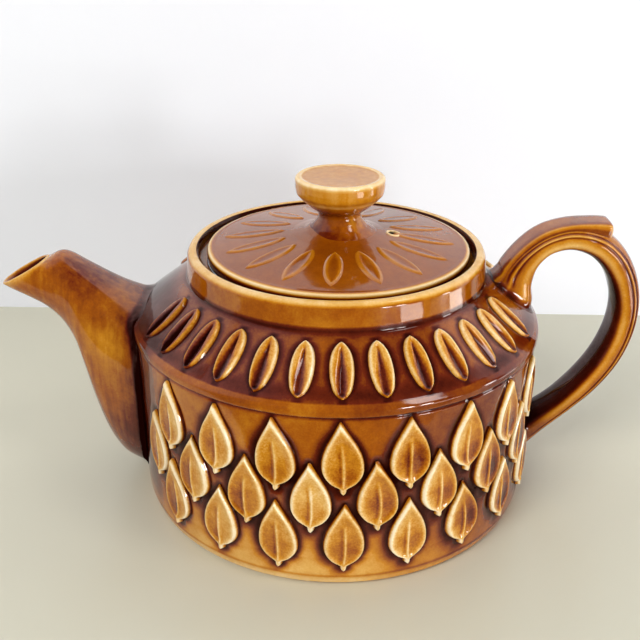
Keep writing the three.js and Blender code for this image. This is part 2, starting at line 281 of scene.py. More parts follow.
def add_bump(tree, shader, height, strength, distance):
    bump = tree.nodes.new("ShaderNodeBump")
    bump.inputs["Strength"].default_value = strength
    bump.inputs["Distance"].default_value = distance
    tree.links.new(height, bump.inputs["Height"])
    tree.links.new(bump.outputs["Normal"], shader.inputs["Normal"])


def swing(tree, noise, amount):
    """Noise centred on zero and scaled."""
    return math_node(tree, "MULTIPLY", math_node(tree, "SUBTRACT", noise, 0.5), amount)


def glaze_material(name, patch=0.28, fleck=0.14, grain=0.10, streak=0.0):
    """Amber glaze: the glaze value runs from a dark pool (0) to the pale body under thin glaze (1). In places
    the value also carries painted light and painted shade.
    """
    material, tree, shader = new_material(name)
    value = tree.nodes.new("ShaderNodeAttribute")
    value.attribute_name = "glaze"
    total = value.outputs["Fac"]
    layers = [(noise_node(tree, 55, 2), patch), (noise_node(tree, 330, 3, 0.6), fleck),
              (noise_node(tree, 1500, 2), grain)]
    if streak:
        layers.append((noise_node(tree, 420, 2, 0.5, (1, 1, 0.1)), streak))
    for noise, amount in layers:
        total = math_node(tree, "ADD", total, swing(tree, noise, amount))
    tree.links.new(ramp_node(tree, total, GLAZE_STOPS), shader.inputs["Base Color"])
    rough = math_node(tree, "MULTIPLY", noise_node(tree, 160), 0.06)
    tree.links.new(math_node(tree, "ADD", rough, 0.04), shader.inputs["Roughness"])
    shader.inputs["IOR"].default_value = 1.6
    shine = math_node(tree, "MULTIPLY", total, 2.6)
    shine.node.use_clamp = True
    tree.links.new(math_node(tree, "MULTIPLY", shine, 0.5), shader.inputs["Specular IOR Level"])
    shader.inputs["Specular Tint"].default_value = (1.0, 0.95, 0.92, 1.0)
    add_bump(tree, shader, noise_node(tree, 110, 2), 0.2, 0.0005)
    return material


def steel_material(name, roughness, colour):
    material, tree, shader = new_material(name)
    grain = noise_node(tree, 900, 4)
    stops = ((0.0, tuple(c * 0.82 for c in colour)), (1.0, tuple(min(1, c * 1.1) for c in colour)))
    tree.links.new(ramp_node(tree, grain, stops), shader.inputs["Base Color"])
    rough = math_node(tree, "MULTIPLY", grain, 0.14)
    tree.links.new(math_node(tree, "ADD", rough, roughness - 0.07), shader.inputs["Roughness"])
    shader.inputs["Metallic"].default_value = 1.0
    add_bump(tree, shader, grain, 0.15, 0.0002)
    return material


# ---- relief shapes ----
LEAF_WIDTH = ((0, 0.35), (0.4, 1.0), (1.2, 1.3), (2.0, 1.35), (2.7, 2.2), (3.6, 3.8), (5.2, 5.4),
              (7.6, 6.6), (10.2, 6.8), (13.3, 6.4), (16.8, 5.2), (20.2, 3.4), (23, 1.8),
              (25, 0.7), (LEAF_LENGTH, 0.2))
EDGE_STEPS = np.array([-0.7, -0.3, 0.0, 0.25, 0.5, 0.8, 1.15, 1.6, 2.2, 3.0, 4.0])
RIB_STEPS = (-1.7, -1.1, -0.7, -0.35, 0.0, 0.35, 0.7, 1.2)


def leaf_half_width(y):
    return np.maximum(graph_through(LEAF_WIDTH, y), 0.2)


def petal_half_width(y, length, half):
    v = np.clip(2 * y / length - 1, -1, 1)
    return np.maximum(half * (1 - np.abs(v) ** 2.3) ** 0.75, 0.12)


def relief_grid(y, width, steps, middle=(0.0,)):
    """x across each row of a relief shape, with columns close together at its edges and down its
    middle, and how far each point is in from the edge."""
    w = width[:, None]
    reach = steps[-1]
    shrink = np.minimum(1.0, w / (reach + 0.6))
    left = -(w - steps * shrink)
    middle = np.asarray(middle) * np.minimum(1.0, np.maximum(w - reach * shrink, 0.01) / 2.2)
    x = np.concatenate([left, middle, -left[:, ::-1]], 1)
    edge = w - np.abs(x)
    return x, edge, np.broadcast_to(y[:, None], x.shape)


def rows_along(length, count, crowd):
    """Heights of the rows of a relief shape, closer together near its ends."""
    even = np.linspace(0, 1, count)
    ends = 0.5 - 0.5 * np.cos(np.linspace(0, math.pi, count))
    return (crowd * ends + (1 - crowd) * even) * length


def close_relief(builder, ids):
    """Closes a relief strip underneath with one face per row, hidden in the wall."""
    under = np.stack([ids[:-1, 0], ids[1:, 0], ids[1:, -1], ids[:-1, -1]], -1)
    builder.faces.extend(map(tuple, [*under.tolist(), ids[0][::-1].tolist(), ids[-1].tolist()]))


def leaf_lean(y, lean):
    """How far a leaf's centre line has moved sideways at height y."""
    return lean * (np.clip(y, 0, LEAF_LENGTH) / LEAF_LENGTH) ** 1.6


def add_leaf(builder, foot, azimuth, lean, seed):
    """One moulded leaf: thick pale edge, slightly hollow blade, curved midrib and a stub of stem."""
    rng = np.random.default_rng(seed)
    bend, tilt = rng.uniform(-1.0, 1.0), rng.uniform(-0.25, 0.25)
    y = rows_along(LEAF_LENGTH, 46, 0.5)
    x, edge, y = relief_grid(y, leaf_half_width(y), EDGE_STEPS, RIB_STEPS)
    wide = leaf_half_width(y)
    stem = 1 - smoothstep(1.8, 3.6, y)
    long = 1 - smoothstep(15, 19, y)
    hollow = 0.55 * smoothstep(0.9, 3.4, edge) * smoothstep(2.0, 4.5, wide)
    rib = bell(x, 0, 0.42) * long * (1 - stem)
    beside = bell(x, -1.1, 0.55) * long * (1 - stem) * smoothstep(2.0, 4.0, wide)
    h = -0.7 + 2.1 * smoothstep(-0.35, 0.9, edge) - hollow + 0.45 * rib + 0.1 * stem + tilt * x / 7
    crest = 1 - smoothstep(0.45, 2.2, edge)
    to_right = math.sin(math.radians(azimuth))
    glaze = 0.69 + 0.27 * crest + 0.18 * rib - 0.14 * beside + 0.04 * smoothstep(19, 24.5, y)
    glaze += 0.04 * stem - 0.02 * np.tanh(x / 2.5) + rng.uniform(-0.07, 0.05)
    shade = 0.13 + 0.16 * max(to_right, 0)
    glaze -= shade * bell(y, rng.uniform(5, 11), 5.0) * smoothstep(1.2, 3.6, edge) * (1 - rib)
    # Painted shade: leaves away from the front are darker, those on the right more so, and the half of each
    # leaf turned away from the front is darker.
    glaze -= 0.06 * abs(to_right) + 0.05 * max(to_right, 0) + 0.23 * to_right * np.tanh(x / 3.0)
    glaze = np.where(edge < 0.02, 0.14, glaze - 0.5 * (1 - smoothstep(0.1, 0.6, edge)))
    inner = np.clip(1 - (x / wide) ** 2, 0, 1)
    x = x + bend * np.sin(y / LEAF_LENGTH * 4.4) * inner * smoothstep(2, 6, y)
    points = on_surface(x + leaf_lean(y, lean), y, h, azimuth, WALL_R, foot, 0.0)
    close_relief(builder, builder.grid(points, glaze, wrap=False))


def leaf_outline():
    y = np.linspace(0, LEAF_LENGTH, 60)
    w = leaf_half_width(y)
    return np.concatenate([np.stack([w, y], -1), np.stack([-w, y], -1)])


def leaf_places(only=None):
    """Each leaf's foot height, azimuth and lean. The leaves are set by hand, so they wander a little."""
    rng = np.random.default_rng(11)
    for row, (foot, rise, first) in enumerate(LEAF_ROWS):
        for i in range(LEAVES_ROUND):
            azimuth = (first + i * 360 / LEAVES_ROUND) % 360
            right = math.sin(math.radians(azimuth))
            azimuth += 0.5 + 0.75 * right
            lean = rng.uniform(-1.4, 0.5)
            clear = apart(azimuth, SPOUT_SIDE) >= 34 and apart(azimuth, HANDLE_SIDE) >= 20
            if clear and only in (None, row):
                yield foot + rise * right, azimuth, lean


def shoulder_places():
    """Azimuths of the petals on the shoulder, with gaps for the spout and the handle."""
    for i in range(PETALS_ROUND):
        azimuth = (2 + i * 360 / PETALS_ROUND) % 360
        if apart(azimuth, SPOUT_SIDE) >= 23 and apart(azimuth, HANDLE_SIDE) >= 14:
            yield azimuth


PETAL_WIDTH = ((0, 0.5), (0.6, 1.4), (2, 2.5), (5, 3.5), (9.6, 3.95), (13, 3.7), (15.8, 2.95),
               (17.6, 1.9), (18.5, 0.95), (PETAL_LENGTH, 0.3))


def add_shoulder_petal(builder, azimuth, seed):
    """An oval with two thick pale lobes either side of a dark slit that widens downwards."""
    rng = np.random.default_rng(seed)
    steps = np.array([-0.6, -0.25, 0.0, 0.25, 0.55, 0.9, 1.3, 1.75, 2.2, 2.7, 3.2])
    y = rows_along(PETAL_LENGTH, 36, 0.6)
    width = np.maximum(graph_through(PETAL_WIDTH, y), 0.12)
    x, edge, y = relief_grid(y, width, steps, (-0.45, 0.0, 0.45))
    slit_width = 0.45 + 1.25 * smoothstep(16, 5, y)
    slit = bell(x, 0.0, slit_width) * smoothstep(18, 14, y) * smoothstep(-0.4, 1.4, y)
    h = -0.6 + 1.9 * smoothstep(-0.35, 0.9, edge) - 0.9 * slit
    glaze = 0.67 + 0.25 * bell(edge, 0.6, 0.6) - 0.48 * slit + 0.03 * np.tanh(x)
    glaze += rng.uniform(-0.05, 0.03) - 0.25 * smoothstep(2.2, 0, y)
    # Painted shade: the petals on the left half of the pot are darker, fading out towards the front.
    glaze -= 0.34 * smoothstep(18, 62, 360 - azimuth) * (azimuth > 180)
    glaze = np.where(edge < 0.02, 0.08, glaze - 0.3 * (1 - smoothstep(0.0, 0.4, edge)))
    points = on_surface(x, y + PETAL_START, h, azimuth, *SHOULDER, SHOULDER_LEAN)
    close_relief(builder, builder.grid(points, glaze, wrap=False))


def add_lid_petal(builder, azimuth):
    """A shallow petal with a soft raised rim."""
    steps = np.array([-0.6, -0.2, 0.1, 0.4, 0.7, 1.0, 1.4, 1.9, 2.5, 3.1])
    y = rows_along(LID_PETAL_LENGTH, 34, 0.5)
    wide = petal_half_width(y, LID_PETAL_LENGTH, 3.5)
    x, edge, y = relief_grid(y, wide, steps)
    bowl = smoothstep(0.9, 2.8, edge) * smoothstep(1.0, 2.4, wide)[:, None]
    h = -0.5 + 1.0 * smoothstep(-0.8, 1.5, edge) - 0.3 * bowl
    glaze = 0.42 + 0.11 * bell(edge, 1.1, 1.0) - 0.04 * bowl
    glaze = np.where(edge < 0.0, 0.38, glaze)
    lean = 90 - math.degrees(math.atan(LID_SLOPE))
    points = on_surface(x, y, h, azimuth, *LID_EDGE, lean)
    close_relief(builder, builder.grid(points, glaze, wrap=False))


# ---- pot body ----
POT_OUTSIDE = (
    (62.0, 0.9, 0), (63.2, 0.0, 0.6), (70.6, 0.0, 0.8), (72.3, 1.1, 1.2), (73.2, 4.2, 3.0),
    (WALL_R, 9.0, 3.0), (WALL_R, 64.2, 0.7), (72.8, 65.1, 0.5), (74.1, 66.0, 0.8),
    (74.0, 68.2, 1.6), (*SHOULDER, 1.5), (*COLLAR, 1.4), (53.7, 86.2, 2.0), (53.3, 91.8, 1.2),
    (52.3, RIM_Z, 1.5), (50.1, RIM_Z, 0.9), (49.4, 92.0, 0.8), (49.4, 90.6, 0),
)
POT_INSIDE = (
    (49.4, SEAT_Z, 0.4), (43.0, SEAT_Z, 0.8), (43.0, 84.4, 1.0), (46.5, 82.4, 1.5), (50.2, 80.2, 3.0),
    (67.6, 66.2, 3.0), (69.0, 62.5, 3.0), (69.0, 10.0, 3.0), (66.0, 5.2, 3.0), (20.0, 5.0, 0),
)
POT_COLUMNS = 720
SLOPE_GLAZE = 0.395


def profile_distance(points):
    """Signed distance (positive outside) to the pot's outer profile, and its direction."""
    r = np.hypot(points[..., 0], points[..., 1])
    z = points[..., 2]
    line = rounded_profile(POT_OUTSIDE[1:-3])
    best = np.full(r.shape, 1e9)
    foot_r, foot_z = np.zeros(r.shape), np.zeros(r.shape)
    for a, b in zip(line[:-1], line[1:]):
        d = b - a
        if d @ d < 1e-9:
            continue
        t = np.clip(((r - a[0]) * d[0] + (z - a[1]) * d[1]) / (d @ d), 0, 1)
        fr, fz = a[0] + t * d[0], a[1] + t * d[1]
        dist = np.hypot(r - fr, z - fz)
        near = dist < best
        best = np.where(near, dist, best)
        foot_r, foot_z = np.where(near, fr, foot_r), np.where(near, fz, foot_z)
    rising = line[line[:, 1].argmin():]
    edge_r = np.interp(z, rising[:, 1], rising[:, 0])
    sign = np.where(r > edge_r, 1.0, -1.0)
    nr, nz = sign * (r - foot_r), sign * (z - foot_z)
    size = np.maximum(np.hypot(nr, nz), 1e-6)
    nr, nz = nr / size, nz / size
    safe = np.maximum(r, 1e-6)
    normal = np.stack([nr * points[..., 0] / safe, nr * points[..., 1] / safe, nz], -1)
    return sign * best, normal


def plain_glaze(r, z, azimuth):
    """Glaze value over the outside of the pot before the relief is added, with painted light and shade."""
    # Painted light and shade: the wall is lighter towards the front-left and darker to the right and away
    # from the front; near the foot it is paler all round, and painted light makes this strongest at the
    # front.
    front = np.maximum(np.cos(np.radians(azimuth + 12)), 0)[None, :]
    value = 0.415 - 0.065 * np.sin(np.radians(azimuth))[None, :] + 0 * z
    value += 0.10 * front ** 6 * bell(z, 30, 30)
    value += 0.26 * bell(z, 5.0, 13.0) * (0.25 + 0.75 * front ** 3)
    value -= 0.06 * bell(z, 12.0, 26.0) * smoothstep(20, 55, apart(azimuth, 352))[None, :]
    value += 0.10 * bell(z, 1.8, 1.6) - 0.16 * bell(z, 4.4, 0.5)
    value -= 0.20 * bell(z, 65.1, 0.6) * (r > 71)
    value -= 0.03 * bell(z, 68.0, 1.6) * (r > 71)
    value = np.where(on_slope(r, z), SLOPE_GLAZE - 0.17 * bell(z, 71.3, 2.0), value)
    value -= 0.24 * bell(z, 84.6, 1.3) * (r < 58)
    value = np.where((z > 85.4) & (r < 54), 0.47 + 0.32 * smoothstep(91.8, 93.2, z), value)
    # Painted shade: dark inside the rim, down in the lid's seat.
    return np.where((z < 93.3) & (r < 50.2), 0.1, value)


def on_slope(r, z):
    """True on the sloping shoulder."""
    return (z > SHOULDER[1] - 0.2) & (z < COLLAR[1] + 1) & (r > 53.8)


def pool_round_leaves(value, z, azimuth):
    """Darkens the glaze beside each leaf. Returns how far the wall is sunk there."""
    sunk = np.zeros_like(value)
    wall_rows = np.where((z[:, 0] > 4) & (z[:, 0] < 66.2))[0]
    outline = leaf_outline()
    for foot, centre, lean in leaf_places():
        cols = np.where(apart(azimuth, centre) < 9.5)[0]
        rows = wall_rows[(z[wall_rows, 0] > foot - 4) & (z[wall_rows, 0] < foot + LEAF_LENGTH + 4)]
        y = z[rows] - foot
        x = np.radians(turn_to(azimuth[cols], centre))[None, :] * WALL_R - leaf_lean(y, lean)
        dx, dy = x[..., None] - outline[:, 0], y[..., None] - outline[:, 1]
        dist = np.sqrt((dx ** 2 + dy ** 2).min(-1))
        inside = (np.abs(x) < leaf_half_width(y)) & (y > 0) & (y < LEAF_LENGTH)
        dist = np.where(inside, 0, dist)
        side = 1.9 - 0.5 * np.tanh(x / 2.0) + 0.5 * (y < 4) - 0.6 * smoothstep(18, 24, y)
        pool = np.exp(-((dist / side) ** 2))
        block = np.ix_(rows, cols)
        value[block] = np.minimum(value[block], value[block] * (1 - 0.85 * pool))
        sunk[block] = np.maximum(sunk[block], 0.4 * pool)
    return sunk


def pool_round_petals(value, r, z, azimuth):
    """Darkens the glaze beside each petal of the shoulder."""
    rows = np.where(on_slope(r, z)[:, 0])[0]
    up = (SHOULDER[0] - r[rows]) / math.sin(math.radians(SHOULDER_LEAN)) - PETAL_START
    for centre in shoulder_places():
        cols = np.where(apart(azimuth, centre) < 6.5)[0]
        x = np.radians(turn_to(azimuth[cols], centre))[None, :] * r[rows]
        gap = np.abs(x) - graph_through(PETAL_WIDTH, np.clip(up, 0, PETAL_LENGTH))
        pool = np.exp(-((np.maximum(gap, 0) / 1.5) ** 2)) * ((up > -1.5) & (up < PETAL_LENGTH + 1.5))
        block = np.ix_(rows, cols)
        value[block] = np.minimum(value[block], SLOPE_GLAZE - 0.26 * pool)


def wall_glaze(profile, columns):
    """Glaze value, with painted light and shade, over the outside of the pot, and how far the wall is sunk
    beside the leaves.
    """
    azimuth = np.arange(columns) / columns * 360.0
    r, z = profile[:, 0][:, None], profile[:, 1][:, None]
    value = plain_glaze(r, z, azimuth)
    sunk = pool_round_leaves(value, z, azimuth)
    pool_round_petals(value, r, z, azimuth)
    # Painted shade: the wall beside the spout is darker, from just above the foot up to the collar.
    spout_shade = smoothstep(37, 29, apart(azimuth, SPOUT_SIDE))[None, :]
    value *= 1 - 0.52 * spout_shade * smoothstep(3, 14, z) * smoothstep(84, 78, z)
    return value, sunk


def pot_body(material):
    builder = Builder()

    def spacing(point):
        r, z = point
        if r > 70 and 5 < z < 66:
            return 0.86
        return 0.8 if z >= 66 or z <= 5 else 2.0

    outside = spaced(rounded_profile(POT_OUTSIDE), spacing)
    value, sunk = wall_glaze(outside, POT_COLUMNS)
    rows = turned_rows(outside, POT_COLUMNS)
    angle = full_turn(POT_COLUMNS)
    rows[..., 0] -= sunk * np.sin(angle)
    rows[..., 1] += sunk * np.cos(angle)
    fine = builder.grid(rows, value)
    coarse_columns = POT_COLUMNS // 4
    inside = spaced(rounded_profile(POT_INSIDE), lambda p: 5.0)
    shade = 0.50 - 0.1 * smoothstep(40, 8, inside[:, 1])[:, None] + np.zeros(coarse_columns)
    inner = builder.grid(turned_rows(inside, coarse_columns), shade)
    builder.stitch_coarse(fine[-1], inner[0])
    builder.fan(inner[-1], (0, 0, POT_INSIDE[-1][1]), 0.42)
    underside = POT_OUTSIDE[0][1]
    under = turned_rows(np.array([[58.0, underside], [30.0, underside]]), coarse_columns)
    base = builder.grid(under, 0.62)
    builder.stitch_coarse(fine[0], base[0], flip=True)
    builder.fan(base[-1], (0, 0, underside), 0.62, flip=True)
    return builder.make("pot_shell", material)


# ---- spout and handle ----
def oval(count, power):
    t = full_turn(count)
    c = np.sign(np.cos(t)) * np.abs(np.cos(t)) ** (2 / power)
    s = np.sign(np.sin(t)) * np.abs(np.sin(t)) ** (2 / power)
    return c, s


def section_points(top, low, half, c, s):
    """Rows of section points. top and low are edge points in the XZ plane."""
    mid, arm = (top + low) / 2, (top - low) / 2
    x = mid[:, :1] + arm[:, :1] * c
    z = mid[:, 1:] + arm[:, 1:] * c
    y = half[:, None] * s
    return np.stack([x, y, z], -1)


def flared_on_pot(points, radius, sink=0.7):
    """Makes the columns of a tube land on the pot with a smooth cove. Row 0 is the root end.

    points is a dense rows x columns array that starts inside the pot; radius is one cove radius
    per column. Returns the new rows and each point's height above the pot."""
    rows, cols = points.shape[:2]
    dist, _ = profile_distance(points)
    base = np.empty_like(points)
    steps = np.linspace(0, 1, rows) ** 1.7
    for k in range(cols):
        buried = np.where(dist[:, k] <= 0)[0]
        first = buried[-1] if len(buried) else 0
        a, b = dist[first, k], dist[min(first + 1, rows - 1), k]
        start = first + (0 - a) / max(b - a, 1e-6)
        at = start + (rows - 1 - start) * steps
        i = np.minimum(at.astype(int), rows - 2)
        f = (at - i)[:, None]
        base[:, k] = points[i, k] * (1 - f) + points[i + 1, k] * f
    across = np.roll(base, -1, 1) - np.roll(base, 1, 1)
    along = np.gradient(base, axis=0)
    normal = np.cross(across, along)
    normal /= np.maximum(np.linalg.norm(normal, axis=-1, keepdims=True), 1e-9)
    centre = base.mean(1, keepdims=True)
    if ((base - centre) * normal).sum() < 0:
        normal = -normal
    height = np.maximum(profile_distance(base)[0], 0)
    cove = np.asarray(radius, float)[None, :]
    gap = np.clip(cove - height, 0, cove)
    offset = cove - np.sqrt(np.maximum(cove ** 2 - gap ** 2, 0))
    out = base + normal * offset[..., None]
    for _ in range(3):
        now, direction = profile_distance(out)
        out = out - direction * np.where(height < cove, now - height, 0)[..., None]
    out[0] -= profile_distance(out)[1][0] * sink
    return out, height


SPOUT = (  # upper edge x, z, lower edge x, z, half width
    (-58, 66.4, -58, 5.5, 26.5), (-68, 70.6, -68, 5.5, 25.4), (-74, 73, -75.2, 6.2, 23),
    (-80, 76.2, -81.2, 8.6, 20.2), (-85.4, 79.7, -86.2, 15.8, 17.8), (-90.2, 83, -90, 27.2, 15.6),
    (-94, 85.6, -93, 40.2, 13.6), (-97.4, 88, -96, 52, 11.6), (-99.9, 89, -100.6, 61.3, 10),
    (-101.8, 88.8, -106.8, 67.7, 8.6), (-103.4, 88, -113.4, 71.5, 7.6),
    (-104.7, 87.2, -119, 74.4, 7.5), (-105.4, 86.6, -123, 76.8, 7.8),
)


def spout(material):
    count, dense = 128, 120
    stations = curve_through(SPOUT, dense)
    top, low, half = stations[:, 0:2], stations[:, 2:4], stations[:, 4]
    square = np.linspace(1, 0, dense)[:, None] ** 1.5
    c1, s1 = oval(count, 3.3)
    c0, s0 = oval(count, 2.15)
    c, s = c0 + (c1 - c0) * square, s0 + (s1 - s0) * square
    raw = section_points(top, low, half, c, s)
    cove = 1.4 + 1.5 * np.abs(s0) ** 1.3 + 0.9 * np.maximum(c0, 0)
    outer, height = flared_on_pot(raw, cove)
    along = np.linspace(0, 1, dense)[:, None]
    value = 0.49 + 0.05 * np.sin(along * 9 + s0 * 2) + 0.16 * smoothstep(0.93, 1.0, along)
    value -= 0.11 * smoothstep(0.3, 0.8, c0) * smoothstep(0.9, 0.6, along)
    value -= 0.18 * smoothstep(62, 22, outer[..., 2]) + 0.10 * smoothstep(0.35, 0.1, along)
    share = height / cove[None, :]
    value -= 0.34 * (1 - smoothstep(0.6, 1.0, share)) * (0.3 + 0.7 * np.abs(s0))
    builder = Builder()
    body = builder.grid(outer[:, ::-1], value[:, ::-1])
    run = low - top
    unit = run / np.linalg.norm(run, axis=1, keepdims=True)
    thick = np.linspace(3.8, 1.3, dense)[:, None]
    bore = section_points(top + unit * thick, low - unit * thick, half - thick[:, 0], *oval(count, 2.1))
    mouth, inner = outer[-1], bore[-1]
    lean = np.array([-0.5, 0.0, 0.86])
    lip = [mouth * 0.8 + inner * 0.2 + lean * 0.4, mouth * 0.5 + inner * 0.5 + lean * 0.55,
           mouth * 0.2 + inner * 0.8 + lean * 0.35]
    shade = np.array([0.74, 0.72, 0.62])[:, None] + np.zeros(count)
    lip_ids = builder.grid(np.stack(lip)[:, ::-1], shade)
    builder.stitch(body[-1], lip_ids[0])
    keep = np.where(profile_distance(bore.mean(1))[0] > 0)[0]
    bore = bore[keep][::-3]
    shade = (0.08 + 0.42 * np.exp(-np.arange(len(bore)) / 0.8))[:, None] + np.zeros(count)
    hollow = builder.grid(bore[:, ::-1], shade)
    builder.stitch(lip_ids[-1], hollow[0])
    builder.stitch(hollow[-1], body[0])
    return builder.make("spout_shell", material)


GRIP = (  # outer edge x, z, inner edge x, z, half width
    (48, 74, 64, 62, 8.0), (57.4, 81.6, 71.6, 71.4, 7.8), (60.4, 86.4, 71.2, 79.6, 7.3),
    (64.6, 91.8, 72.2, 85.8, 7.2), (69.8, 96.6, 74.8, 90, 7.2), (75.5, 100, 77.9, 92.2, 7.2),
    (82.3, 101.9, 82.3, 93.3, 7.3), (90, 101.4, 87, 92.6, 7.4), (97.5, 98.5, 91.9, 90.1, 7.5),
    (103.8, 92.4, 96.5, 85.2, 7.6), (108.6, 83.3, 99.9, 78.6, 7.7), (110.9, 72.6, 101.7, 71, 7.8),
    (110.3, 60.8, 101, 61.4, 7.9), (106.6, 48.9, 97.6, 51, 7.9), (99.5, 37.6, 92, 41.4, 8),
    (90.8, 28.4, 84.8, 32.4, 8.1), (82.4, 20.2, 78, 26.6, 8.3), (74.6, 12, 72.6, 23, 8.6),
    (66, 6.4, 64, 19, 8.8),
)
STRAP = (  # the same, for the raised strap on top of the grip
    (50, 77, 55, 73, 6.2), (58.2, 83.6, 61.6, 80.6, 6), (60.4, 87.2, 63.4, 84.8, 5.8),
    (64.2, 92.6, 66.6, 90, 5.8), (69.2, 97.7, 71.2, 95, 5.8), (75, 101.2, 76, 98.2, 5.8),
    (82.3, 103.2, 82.3, 99.8, 5.8), (90, 103.8, 89.4, 99.6, 5.9), (95.2, 103.8, 94.2, 98.2, 6),
    (97.4, 103.3, 96.4, 97.4, 5.9),
)


def handle(material):
    """Loop grip with two fine grooves along each side. Its section runs from c = -1, inner, to 1."""
    count, dense = 128, 230
    stations = curve_through(GRIP, dense)
    c, s = oval(count, 2.9)
    groove = bell(c, 0.62, 0.07) + bell(c, 0.30, 0.07)
    fade = np.minimum(smoothstep(12, 30, np.arange(dense)), smoothstep(12, 40, np.arange(dense)[::-1]))
    groove = groove[None, :] * fade[:, None]
    raw = section_points(stations[:, 0:2], stations[:, 2:4], stations[:, 4], c, s * (1 - 0.085 * groove))
    half = dense // 2
    near, near_height = flared_on_pot(raw[:half], np.full(count, 2.6))
    far, far_height = flared_on_pot(raw[half:][::-1], np.full(count, 3.2))
    rows = np.concatenate([near, far[::-1]])
    height = np.concatenate([near_height, far_height[::-1]])
    along = np.linspace(0, 1, dense)[:, None]
    value = 0.46 + 0.16 * bell(c, 0.46, 0.07) - 0.26 * groove + 0.02 * np.abs(s) ** 3
    value += 0.20 * bell(c, -0.35, 0.3) * np.abs(s) ** 3 * smoothstep(0.95, 0.75, along)
    value += 0.10 * bell(along, 0.32, 0.12) - 0.12 * smoothstep(0.75, 0.95, along)
    value -= 0.06 * bell(along, 0.56, 0.10)
    # Painted shade: the inner face of the loop, turned towards the pot, is darker from near the top down.
    value -= 0.34 * smoothstep(-0.45, -0.85, c) * smoothstep(0.28, 0.45, along)
    value -= 0.34 * (1 - smoothstep(0.3, 2.6, height))
    builder = Builder()
    body = builder.grid(rows, value)
    builder.fan(body[0], rows[0].mean(0), 0.2, flip=True)
    builder.fan(body[-1], rows[-1].mean(0), 0.2)
    return builder.make("handle_grip", material)


def thumb_strap(material):
    count, dense = 72, 120
    stations = curve_through(STRAP, dense)
    end = np.clip((np.arange(dense) - dense + 14) / 13, 0, 1)[:, None] ** 2.5
    top, low = stations[:, 0:2], stations[:, 2:4]
    mid = (top + low) / 2
    top, low = top + (mid - top) * 0.55 * end, low + (mid - low) * 0.1 * end
    half = stations[:, 4] * (1 - 0.2 * end[:, 0])
    c, s = oval(count, 4.2)
    rows = section_points(top, low, half, c, s)
    value = 0.38 + 0.28 * bell(np.abs(s), 0.93, 0.10) * (c > 0) + 0.45 * end
    value += 0.05 * np.cos(s * 3)
    builder = Builder()
    body = builder.grid(rows, value)
    builder.fan(body[0], rows[0].mean(0), 0.3, flip=True)
    blunt = rows[-1].mean(0)
    last = builder.grid((rows[-1:] + blunt) / 2 + (0.4, 0, -0.1), 0.8)
    builder.stitch(body[-1], last[0])
    builder.fan(last[0], blunt + (0.5, 0, -0.1), 0.76)
    return builder.make("thumb_rest", material)


# ---- lid ----
VENT = (19.6, -0.6)
VENT_R = 2.0
LID_REST = 0.8  # the lid lies this far towards the handle in its loose seat
LID_OUTLINE = (
    (0, 100.4, 0), (10.3, 100.4, 0), (12.5, 99.15, 3.0), (16.5, 98.1, 5.0), (21.0, 97.4, 6.0),
    (44.2, 93.95, 1.0), (45.2, 93.95, 0.8), (46.7, 93.6, 1.0), (47.1, 91.9, 1.0), (47.0, 90.3, 0.5),
    (46.4, 90.0, 0.5), (39.6, 90.0, 0.6), (39.6, 80.6, 0.8), (37.8, 80.2, 0.5), (35.4, 80.6, 0.8),
    (35.2, 89.0, 2.0), (31.0, 90.6, 3.0), (0, 93.8, 0),
)
KNOB_OUTLINE = (
    (13.4, 98.8, 0), (12.5, 99.2, 3.0), (10.0, 100.75, 3.0), (8.2, 102.8, 3.0), (7.4, 104.6, 2.5),
    (7.9, 106.0, 1.6), (10.6, 108.0, 2.5), (13.6, 110.6, 2.5), (15.5, 112.8, 2.0), (15.8, 115.0, 2.0),
    (15.8, 118.1, 1.2), (14.7, 118.7, 0.9), (13.0, 118.3, 2.0), (5, 118.1, 0),
)


def lid_plate(material):
    builder = Builder()
    profile = spaced(rounded_profile(LID_OUTLINE)[1:-1], lambda p: 0.9)
    r, z = profile[:, 0], profile[:, 1]
    value = 0.40 + 0.50 * bell(r, 46.5, 0.7) * smoothstep(92.6, 93.1, z)
    # Painted shade: the lid's side below its edge, down in the gap, is dark.
    value = np.where((z < 92.4) & (r > 46), 0.12, value)
    value = np.where(z < 89.8, 0.5, value)
    columns = 360
    ids = builder.grid(turned_rows(profile[::-1], columns), value[::-1, None] + np.zeros(columns))
    builder.fan(ids[0], (0, 0, LID_OUTLINE[-1][1]), 0.55, flip=True)
    builder.fan(ids[-1], (0, 0, LID_OUTLINE[0][1]), 0.4)
    plate = builder.make("lid_plate_shell", material, LID_REST)
    cut_holes(plate, [((VENT[0] + LID_REST, VENT[1], 95.5), (0, 0, 1), VENT_R, 14)])
    return plate


def vent_rim(material):
    """Pale rounded edge round the vent hole."""
    builder = Builder()
    turn, tube = full_turn(40), full_turn(12)
    ring = VENT_R + 0.3 + 0.5 * np.cos(tube)[None, :]
    x = VENT[0] + ring * np.cos(turn)[:, None]
    y = VENT[1] + ring * np.sin(turn)[:, None]
    surface = LID_EDGE[1] + LID_SLOPE * (LID_EDGE[0] - np.hypot(x, y))
    z = surface - 0.05 + 0.42 * np.sin(tube)[None, :]
    ids = builder.grid(np.stack([x, y, z], -1), 0.86)
    builder.stitch(ids[-1], ids[0])
    return builder.make("vent_rim", material, LID_REST)


